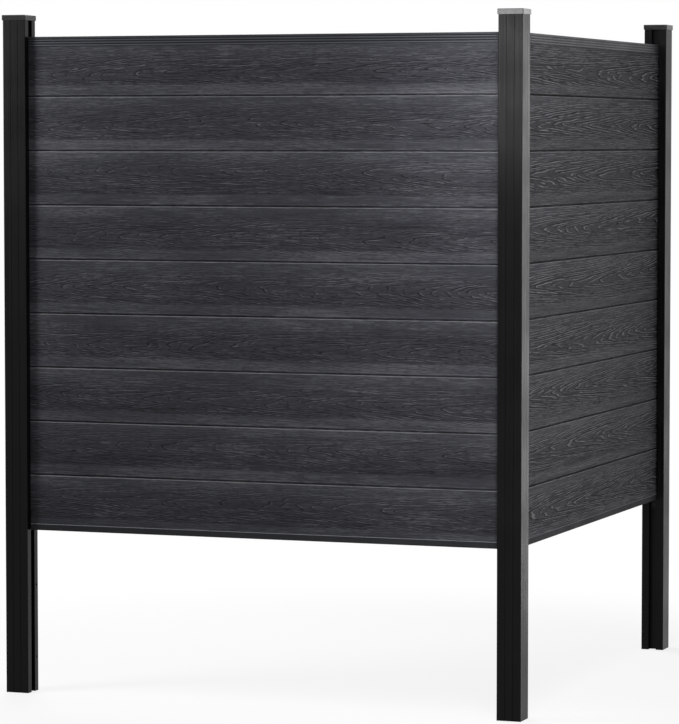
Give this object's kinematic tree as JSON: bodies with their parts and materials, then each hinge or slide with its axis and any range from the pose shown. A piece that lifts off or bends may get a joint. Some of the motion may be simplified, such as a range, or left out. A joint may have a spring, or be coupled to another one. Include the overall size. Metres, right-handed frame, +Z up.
{
  "type": "composite fence panel",
  "caption": "L-shaped privacy fence: horizontal wood-grain composite boards between grooved rails, held in slotted square metal posts with flat caps.",
  "frame": {"origin": "on the floor, under the centre of the square that the two panels bound", "axes": "+Z up; the front panel faces -Y and the side panel faces +X"},
  "size_m": [1.344, 1.344, 1.679],
  "materials": {
    "boards": "charcoal composite with embossed wood grain",
    "posts": "black powder coat",
    "rails": "charcoal powder coat",
    "caps": "fine grained",
    "brackets": "black powder coat",
    "screws": "black oxide"
  },
  "bodies": {
    "root": {"bracket_screws": "screws", "corner_post": "posts", "corner_post_cap": "caps", "corner_post_front_cover": "posts", "corner_post_right_cover": "posts", "front_board_1": "boards", "front_board_2": "boards", "front_board_3": "boards", "front_board_4": "boards", "front_board_5": "boards", "front_board_6": "boards", "front_board_7": "boards", "front_board_8": "boards", "front_board_9": "boards", "front_bottom_rail": "rails", "front_far_bracket": "brackets", "front_near_bracket": "brackets", "front_top_rail": "rails", "left_post": "posts", "left_post_cap": "caps", "left_post_front_cover": "posts", "left_post_left_cover": "posts", "left_post_rear_cover": "posts", "rear_post": "posts", "rear_post_cap": "caps", "rear_post_left_cover": "posts", "rear_post_rear_cover": "posts", "rear_post_right_cover": "posts", "side_board_1": "boards", "side_board_2": "boards", "side_board_3": "boards", "side_board_4": "boards", "side_board_5": "boards", "side_board_6": "boards", "side_board_7": "boards", "side_board_8": "boards", "side_board_9": "boards", "side_bottom_rail": "rails", "side_far_bracket": "brackets", "side_near_bracket": "brackets", "side_top_rail": "rails"}
  },
  "joints": []
}
